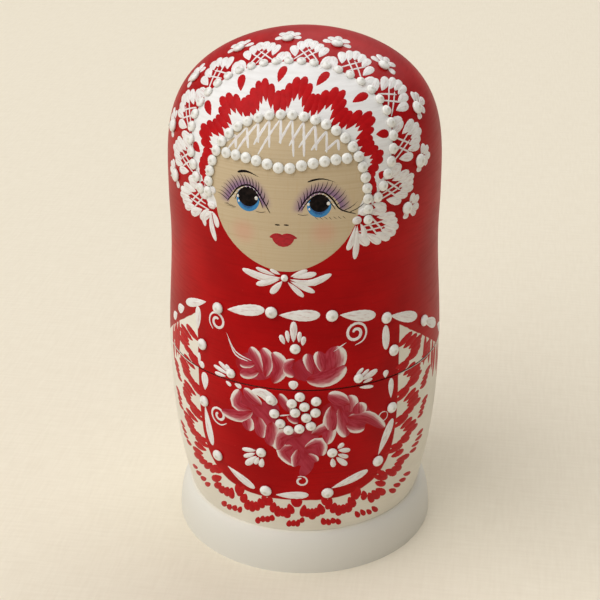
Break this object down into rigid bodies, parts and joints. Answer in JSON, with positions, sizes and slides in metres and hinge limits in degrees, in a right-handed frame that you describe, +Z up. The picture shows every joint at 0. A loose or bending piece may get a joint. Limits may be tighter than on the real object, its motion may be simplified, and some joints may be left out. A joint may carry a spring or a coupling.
{
  "type": "nesting doll",
  "caption": "Turned wooden nesting doll set with painted and beaded finish: hollow dolls that twist and lift open in two halves, each holding the next smaller doll.",
  "frame": {"origin": "centre of the flat base of the largest doll", "axes": "+Z up along the turning axis, face towards -Y, +X to the right of a viewer facing the doll"},
  "size_m": [0.082, 0.0832, 0.1556],
  "materials": {
    "red_painted_wood": "satin varnished red paint on turned linden wood, bare wood face",
    "cream_painted_wood": "satin varnished cream paint on turned linden wood",
    "relief_paint": "glossy white relief paint, dried in raised drops"
  },
  "bodies": {
    "doll_1_lower": {"doll_1_lower": "cream_painted_wood", "apron_beads_lower": "relief_paint", "flower_berries": "relief_paint"},
    "doll_1_upper": {"doll_1_upper": "red_painted_wood", "forehead_pearls": "relief_paint", "hair_pearls": "relief_paint", "headdress_pearls": "relief_paint", "headdress_flower_beads": "relief_paint", "bow_bead": "relief_paint", "apron_beads_upper": "relief_paint", "sprig_beads": "relief_paint"},
    "doll_2_lower": {"doll_2_lower": "cream_painted_wood"},
    "doll_2_upper": {"doll_2_upper": "red_painted_wood"},
    "doll_3_lower": {"doll_3_lower": "cream_painted_wood"},
    "doll_3_upper": {"doll_3_upper": "red_painted_wood"},
    "doll_4_lower": {"doll_4_lower": "cream_painted_wood"},
    "doll_4_upper": {"doll_4_upper": "red_painted_wood"},
    "doll_5_lower": {"doll_5_lower": "cream_painted_wood"},
    "doll_5_upper": {"doll_5_upper": "red_painted_wood"},
    "doll_6_lower": {"doll_6_lower": "cream_painted_wood"},
    "doll_6_upper": {"doll_6_upper": "red_painted_wood"},
    "doll_7_solid": {"doll_7_solid": "red_painted_wood"}
  },
  "joints": [
    {"name": "doll_1_twist", "type": "hinge", "parent": "doll_1_lower", "child": "doll_2_lower", "pos_m": [0, 0, 0.0635], "axis": [0, 0, 1], "continuous": true},
    {"name": "doll_2_twist", "type": "hinge", "parent": "doll_2_lower", "child": "doll_3_lower", "pos_m": [0, 0, 0.06484], "axis": [0, 0, 1], "continuous": true},
    {"name": "doll_3_twist", "type": "hinge", "parent": "doll_3_lower", "child": "doll_4_lower", "pos_m": [0, 0, 0.06566], "axis": [0, 0, 1], "continuous": true},
    {"name": "doll_4_twist", "type": "hinge", "parent": "doll_4_lower", "child": "doll_5_lower", "pos_m": [0, 0, 0.06606], "axis": [0, 0, 1], "continuous": true},
    {"name": "doll_5_twist", "type": "hinge", "parent": "doll_5_lower", "child": "doll_6_lower", "pos_m": [0, 0, 0.06613], "axis": [0, 0, 1], "continuous": true},
    {"name": "doll_6_twist", "type": "hinge", "parent": "doll_6_lower", "child": "doll_7_solid", "pos_m": [0, 0, 0.06595], "axis": [0, 0, 1], "continuous": true},
    {"name": "doll_1_lift", "type": "slide", "parent": "doll_2_lower", "child": "doll_1_upper", "axis": [0, 0, 1], "range_m": [0, 0.3]},
    {"name": "doll_2_lift", "type": "slide", "parent": "doll_3_lower", "child": "doll_2_upper", "axis": [0, 0, 1], "range_m": [0, 0.21]},
    {"name": "doll_3_lift", "type": "slide", "parent": "doll_4_lower", "child": "doll_3_upper", "axis": [0, 0, 1], "range_m": [0, 0.144]},
    {"name": "doll_4_lift", "type": "slide", "parent": "doll_5_lower", "child": "doll_4_upper", "axis": [0, 0, 1], "range_m": [0, 0.093]},
    {"name": "doll_5_lift", "type": "slide", "parent": "doll_6_lower", "child": "doll_5_upper", "axis": [0, 0, 1], "range_m": [0, 0.0525]},
    {"name": "doll_6_lift", "type": "slide", "parent": "doll_7_solid", "child": "doll_6_upper", "axis": [0, 0, 1], "range_m": [0, 0.0225]}
  ],
  "couplings": [
    {"joint": "doll_2_lift", "follows": "doll_1_lift", "ratio": 0.7},
    {"joint": "doll_3_lift", "follows": "doll_1_lift", "ratio": 0.48},
    {"joint": "doll_4_lift", "follows": "doll_1_lift", "ratio": 0.31},
    {"joint": "doll_5_lift", "follows": "doll_1_lift", "ratio": 0.175},
    {"joint": "doll_6_lift", "follows": "doll_1_lift", "ratio": 0.075}
  ]
}
